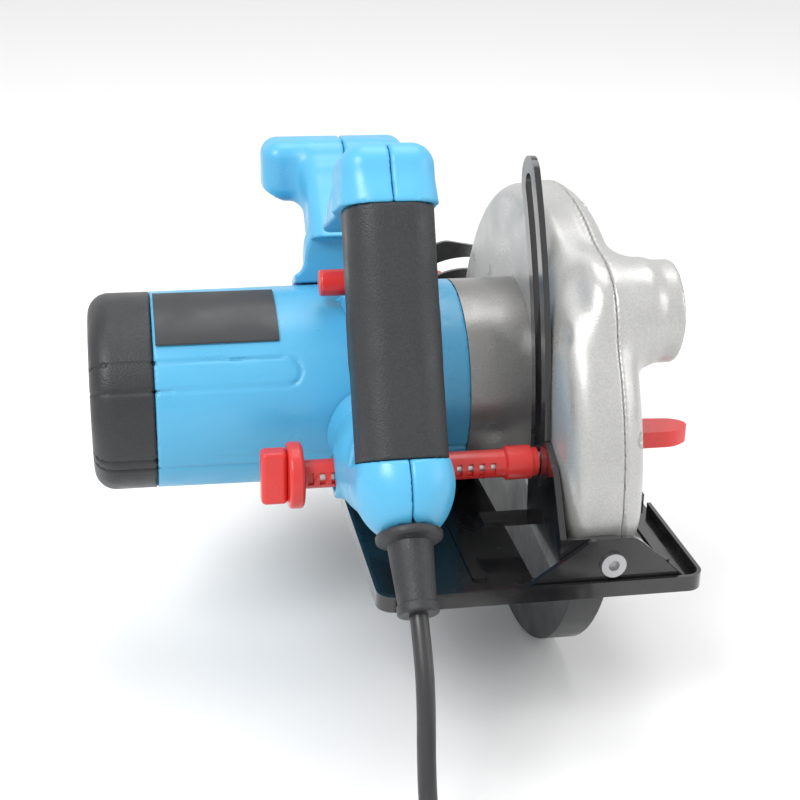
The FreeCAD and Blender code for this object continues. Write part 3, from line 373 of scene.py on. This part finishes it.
def studio():
    """A white surround, a paper floor under the saw and three soft lights."""
    world = bpy.data.worlds.new("studio")
    world.use_nodes = True
    backdrop = world.node_tree.nodes["Background"]
    backdrop.inputs["Color"].default_value = (1.0, 1.0, 1.0, 1.0)
    backdrop.inputs["Strength"].default_value = 0.9
    bpy.context.scene.world = world
    bpy.ops.mesh.primitive_plane_add(size=12, location=(0, 0, FLOOR * MM))
    floor = bpy.context.object
    floor.name = "floor"
    floor.data.materials.append(material("floor_paper", (0.86, 0.86, 0.86), 0.85, bump=0.0, mottle=0.0))
    lamp("key", (-0.9, -0.8, 1.3), (-0.05, 0, 0.05), 0.7, 16)
    lamp("top", (0.2, 0.3, 1.6), (0, 0, 0.05), 1.0, 9)
    lamp("right", (1.4, -0.6, 0.7), (0, 0, 0.05), 0.8, 5)
    bpy.context.scene.view_settings.view_transform = "Standard"


# ---- handle: two shells, the rubber over the grip ----

GRIP = [(-103, 57), (-81.5, 99), (-62, 143)]
GRIP_LEAN = rotation("X", -25)
SEAM_GAP = 0.12         # from the handle plane to each shell


def grip(grow):
    """The bar that the hand closes round, larger by an amount."""
    wide, deep, soft = 16.2 + grow, 15.4 + grow, 11.0 + grow
    low = beam((-110, 43.3), (-73.2, 115.2), wide, deep, wide, deep, soft)
    high = beam((-89.9, 80), (-58, 152), wide, deep, wide, deep, soft)
    return melt(1, low, high)


def cover_zone(margin):
    """Where rubber lies: between two planes square to the grip, and low down not on its front."""
    above = half_space((0, *GRIP[0]), (0, -21.5, -42))
    below = half_space((0, *GRIP[2]), (0, 19.5, 44))
    front = half_space((0, GRIP[1][0] + 9.5, GRIP[1][1]), (0, -44, 21))
    low_front = common(front, brick((PLANE, -80, 60), (60, 60, 38), 8))
    zone = carve(common(above, below), low_front)
    return lambda p: zone(p) - margin


def trigger_pocket():
    return brick((PLANE, -66.2, 125.8), (6.4, 13.4, 16.4), 1.0, GRIP_LEAN)


def handle_field():
    """Both shells in one: body, grip core, top cap, bridge, saddle on the motor, neck and front horn."""
    lower = melt(10, capsule((PLANE, -109, 46), (PLANE, -75, 43), 18, 19.2),
                 capsule((PLANE, -75, 43), (PLANE, -34, 44), 19.2, 20))
    lower = common(lower, brick((-85, -70, 46), (20, 80, 60), 6))
    cap = brick((PLANE, -57, 150), (18, 15, 15.5), 9, GRIP_LEAN)
    bridge = beam((-52, 148), (2, 88.5), 17, 14, 19, 14, 4.5)
    stem = beam((-8, 84), (26, 100), 21.5, 15, 20.5, 14, 5)
    web = brick((PLANE, -23, 74), (9, 13, 28), 3)
    foot = disc(0, MOTOR_AT, 46.5, -110, -58, 3)
    foot = common(foot, brick((PLANE, 10, 90), (26, 24, 22), 6))
    neck = beam((6, 100), (50, 127), 20, 13, 18.5, 12.5, 6)
    bar = common(brick((-85.5, 59, 130.5), (32.5, 12, 13.5), 7.5),
                 half_space((-118, 0, 123), (-0.52, 0, -0.85)))
    horn = melt(8, bar, beam((44, 124), (61, 134), 18, 12, 20, 9, 6))
    main = melt(10, melt(7, grip(0), cap), lower)
    main = melt(7, main, bridge, stem, neck, foot)
    main = melt(6, main, horn, web)
    boss = disc(0, KNOB_AT, 10.3, -103.5, -88, 1)
    collar = disc(0, BUTTON_AT, 8, -99.5, -88, 0.8)
    main = melt(1.5, main, boss, collar)
    # A known fault: this sleeve also cuts the bridge, web and foot, so each shell is in three pieces.
    sleeve = common(cover_zone(0.25), carve(brick((PLANE, -80, 100), (60, 90, 90)), grip(-1.7)))
    socket = common(capsule((PLANE, -100, 57), (PLANE, -170, -13), 13.1),
                    half_space((0, -121, 36), (0, 1, 1)))
    motor_bore = disc(0, MOTOR_AT, 43.1, -210, -40)
    knob_bore = disc(0, KNOB_AT, 6.4, -140, -40)
    button_bore = disc(0, BUTTON_AT, 5.8, -120, -84)
    cord_bore = capsule((PLANE, -115, 42), (PLANE, -160, -3), 8.3)
    opened = carve(main, motor_bore, knob_bore, button_bore, trigger_pocket(), socket, cord_bore)
    seam = groove(opened, lambda p: p[:, 0] - PLANE, 0.5, 0.6)
    return carve(seam, sleeve)


def handle():
    """Both shells come from one field, a hair apart on the handle plane."""
    whole = handle_field()
    low, high = (-121, -131, 20), (-44, 76, 172)
    left = common(whole, half_space((PLANE - SEAM_GAP, 0, 0), (1, 0, 0)))
    right = common(whole, half_space((PLANE + SEAM_GAP, 0, 0), (-1, 0, 0)))
    sculpt("handle_shell_left", left, low, high, CELL["handle"], BLUE, "saw_body", "blue", "handle_left")
    sculpt("handle_shell_right", right, low, high, CELL["handle"], BLUE, "saw_body", "blue", "handle_right")
    rubber = common(cover_zone(0), carve(grip(0.75), grip(-1.5), trigger_pocket()))
    low, high = (-104, -125, 44), (-60, -38, 156)
    sculpt("grip_rubber", rubber, low, high, CELL["rubber"], RUBBER, "saw_body", "rubber", "grip_cover")


# ---- cast guard: a dome over the blade, a round column behind it and the sawdust outlet ----

GUARD_RADIUS = 105.7
GUARD_SPLIT = 5.0
SPLIT_GAP = 0.1
OUTLET_AT = (-60, 97.3)
HINGE_AT = (140, 28)


def rim_spots(radius):
    """Where the cover's screws sit, on a circle about the arbor."""
    turns = [math.radians(turn) for turn in (22, 60, 98, 163)]
    return [(radius * math.cos(turn), ARBOR_Z + radius * math.sin(turn)) for turn in turns]


def guard_field():
    """Casting and cover in one: dome, column, outlet and hinge, hollow inside and open below."""
    dome = disc(0, ARBOR_AT, GUARD_RADIUS, -14, 13, 8)
    column = hoop(-0.5, 0, ARBOR_Z, 88.5, 17.2, 122, 180)
    bulge = disc(0, OUTLET_AT, 22, -4, 27, 6)
    hinge = union(brick((-15.2, 113, 28), (3.5, 26, 6), 1.5), disc(0, HINGE_AT, 6, -18.7, -11.7, 1))
    lug = brick((-13.4, KNOB_Y, 40.5), (4.3, 10, 11), 1.5)
    bead = hoop(GUARD_SPLIT, 0, ARBOR_Z, GUARD_RADIUS - 1.2, 1.8, 2, 178)
    outer = melt(9, melt(7, dome, column), bulge)
    outer = melt(2.5, outer, disc(0, OUTLET_AT, 20.8, 20, 34, 1.2), hinge, lug, bead)
    posts = [disc(0, spot, 3.2, -8, 12) for spot in rim_spots(102.4)]
    drum = carve(disc(0, ARBOR_AT, 101.7, -11.5, 10.5, 2), *posts)
    hollow = union(drum, disc(0, OUTLET_AT, 19, 10.4, 36, 0.5))
    below = brick((0, 7.75, -39), (40, 91.75, 51), 0.5)
    front_below = brick((14, 109.5, -39), (26, 10.5, 51), 0.5)
    chute_floor = brick((0, -117, -41), (40, 33, 49), 0.5)
    access = union(disc(0, ARBOR_AT, 43, 9, 15, 0.3), brick((24, 0, 13.7), (16, 43, 13.8), 0.5))
    seats = [disc(0, MOTOR_AT, 42.85, -30, -13.9, 0.3), disc(0, ARBOR_AT, 25, -18, -9, 0.3),
             disc(0, KNOB_AT, 4.05, -30, -8, 0.2), disc(0, HINGE_AT, 3.1, -30, 0, 0.2)]
    heads = [disc(0, spot, 2.75, 9.4, 20, 0.2) for spot in rim_spots(101.2)]
    outer = carve(outer, capsule((-22.3, -79, 95), (-22.3, -74.5, 118), 8.4), k=2.5)
    pits = [capsule((-16.3, -79, 94), (-16.3, -77.6, 101), 3.6),
            capsule((-16.3, -76.2, 109), (-16.3, -74.8, 117), 3.6)]
    return carve(carve(outer, *pits, k=1.5), hollow, below, front_below, chute_floor, access, *seats, *heads)


def guard():
    """The casting lies left of the split and its cover right of it."""
    whole = guard_field()
    low, high = (-22, -118, -3), (37, 150, 147)
    left = common(whole, half_space((GUARD_SPLIT - SPLIT_GAP, 0, 0), (1, 0, 0)))
    right = common(whole, half_space((GUARD_SPLIT + SPLIT_GAP, 0, 0), (-1, 0, 0)))
    sculpt("guard_casting", left, low, high, CELL["guard"], LIGHTER_CAST, "saw_body", "cast", "upper_guard")
    sculpt("guard_cover_casting", right, low, high, CELL["guard"], LIGHTER_CAST, "saw_body", "cast", "guard_cover")


# ---- motor housing and its end cap ----

MOTOR_FRONT, MOTOR_REAR = -41.6, -171
FRONT_RADIUS, REAR_RADIUS = 42.8, 41.7
SKIN_RADIUS = 42.0
SCREW_SIDES = (-20, 20)


def around_motor(degrees):
    """How far along the motor's skin a point lies from a line at some angle from +Y towards +Z."""
    middle = math.radians(degrees)

    def field(p):
        turn = np.arctan2(p[:, 2] - MOTOR_Z, p[:, 1]) - middle
        return SKIN_RADIUS * ((turn + math.pi) % (2 * math.pi) - math.pi)
    return field


def motor_bands(base):
    """A round-ended panel on the rear upper side, a ledge below it, and a fine line near the gear case."""
    panel, ledge = around_motor(152), around_motor(207)
    base = groove(base, lambda p: np.hypot(np.maximum(p[:, 0] + 118, 0), panel(p)) - 6, 0.6, 0.8)
    base = groove(base, lambda p: np.abs(ledge(p)) - 2.6, 0.55, 0.9)
    return groove(base, lambda p: p[:, 0] + 50, 0.45, 0.6)


def motor():
    """A slightly tapered housing with vents under its cap, and a dished cap with slots and screw bores."""
    lean = (FRONT_RADIUS - REAR_RADIUS) / (MOTOR_FRONT - MOTOR_REAR)
    tube = disc(0, MOTOR_AT, FRONT_RADIUS, MOTOR_REAR, MOTOR_FRONT, 0.6)

    def taper(p):
        from_axis = np.hypot(p[:, 1], p[:, 2] - MOTOR_Z)
        return from_axis - FRONT_RADIUS - lean * (p[:, 0] - MOTOR_FRONT)

    vents = [disc(0, (26 * math.cos(turn), MOTOR_Z + 26 * math.sin(turn)), 7, -172, -160)
             for turn in (math.radians(60 * n + 30) for n in range(6))]
    bore = disc(0, MOTOR_AT, 38.8, -168, -30)
    bearing_seat = disc(0, MOTOR_AT, 11, -180, -160)
    shell = carve(motor_bands(common(tube, taper)), bore, bearing_seat, *vents)
    low, high = (-173, -46, 4), (-40, 46, 96)
    sculpt("motor_shell", shell, low, high, CELL["motor"], BLUE, "saw_body", "blue", "motor_housing")

    outside = common(disc(0, MOTOR_AT, REAR_RADIUS, -197, -150, 9), half_space((-171.2, 0, 0), (1, 0, 0)))
    outside = motor_bands(outside)
    dish = disc(0, MOTOR_AT, 29, -200, -195.6, 0.8)
    inside = disc(0, MOTOR_AT, 38.6, -194.2, -150, 6)
    posts = [disc(0, (y, MOTOR_Z), 5, -196, -171.5) for y in SCREW_SIDES]
    slots = [brick((-196, 0, 30 + 10 * n), (5, 13, 1.6), 0.7) for n in range(5)]
    heads = [disc(0, (y, MOTOR_Z), 3.4, -198, -194.4, 0.2) for y in SCREW_SIDES]
    shanks = [disc(0, (y, MOTOR_Z), 1.7, -198, -170, 0.2) for y in SCREW_SIDES]
    cap = carve(union(carve(outside, inside), *posts), dish, *slots, *heads, *shanks)
    low, high = (-199, -46, 4), (-170, 46, 96)
    sculpt("motor_end_cap", cap, low, high, CELL["cap"], CAP, "saw_body", "cap", "motor_cap")


# ---- mains cord: hangs from the strain relief to the floor, then lies in a tied coil behind the saw ----

CORD_LEAD = [(-82.6, -142.9, 14.1), (-82.6, -154.2, 2.8), (-82.9, -162.2, -12.2),
             (-83.3, -166.3, -28.7), (-83.7, -173.2, -44.2), (-84, -185, -56.4),
             (-84.1, -200.1, -64.1), (-84, -216.8, -67.5), (-84, -226, -67.5)]
CORD_TAIL = [(-30, -280, -60.3), (-21.5, -280.4, -61.6), (-12.5, -282, -62.4), (-3.5, -284.4, -61.4),
             (5, -286, -59.4)]
COIL_X, COIL_Y = -30.0, -226.0
COIL_INNER, COIL_OUTER = 28.0, 54.05
CORD_RADIUS = 3.5
LAYER_RISE = 7.2        # from the lower layer's middle to the upper's


def coil_points():
    """A flat coil in two layers: inwards along the floor, then outwards on top."""
    per_turn, climb = 20, 6
    stretch = 1 / math.cos(math.pi / per_turn)
    lower, upper = int(3.5 * per_turn), int(3.75 * per_turn)
    points = []
    for n in range(1, lower + upper):
        turn = math.pi + 2 * math.pi * n / per_turn
        if n <= lower:
            radius = COIL_OUTER + (COIL_INNER - COIL_OUTER) * n / lower
        else:
            radius = COIL_INNER + (COIL_OUTER - COIL_INNER) * (n - lower) / upper
        rise = min(1.0, max(0.0, (n - lower + climb / 2) / climb))
        height = FLOOR + CORD_RADIUS + LAYER_RISE * rise * rise * (3 - 2 * rise)
        x = COIL_X + radius * stretch * math.cos(turn)
        y = COIL_Y + radius * stretch * math.sin(turn)
        points.append((x, y, height))
    return points


def cord():
    """One curve for the lead, the coil and the tail that ends in the plug."""
    curve = bpy.data.curves.new("mains_cord", "CURVE")
    curve.dimensions = "3D"
    curve.bevel_depth = CORD_RADIUS * MM
    curve.bevel_resolution = 5
    curve.resolution_u = 8
    curve.use_fill_caps = True
    spline = curve.splines.new("NURBS")
    points = CORD_LEAD + coil_points() + CORD_TAIL
    spline.points.add(len(points) - 1)
    for point, place_at in zip(spline.points, points):
        point.co = (*(v * MM for v in place_at), 1)
    spline.order_u = 3
    spline.use_endpoint_u = True
    curve.materials.append(SHEATH)
    piece = bpy.data.objects.new("mains_cord", curve)
    bpy.context.scene.collection.objects.link(piece)
    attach(piece, "saw_body")
    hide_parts("cord_lead", "cord_coil", "cord_tail")


camera()
studio()
paint_nodes()
cord()
handle()
guard()
motor()
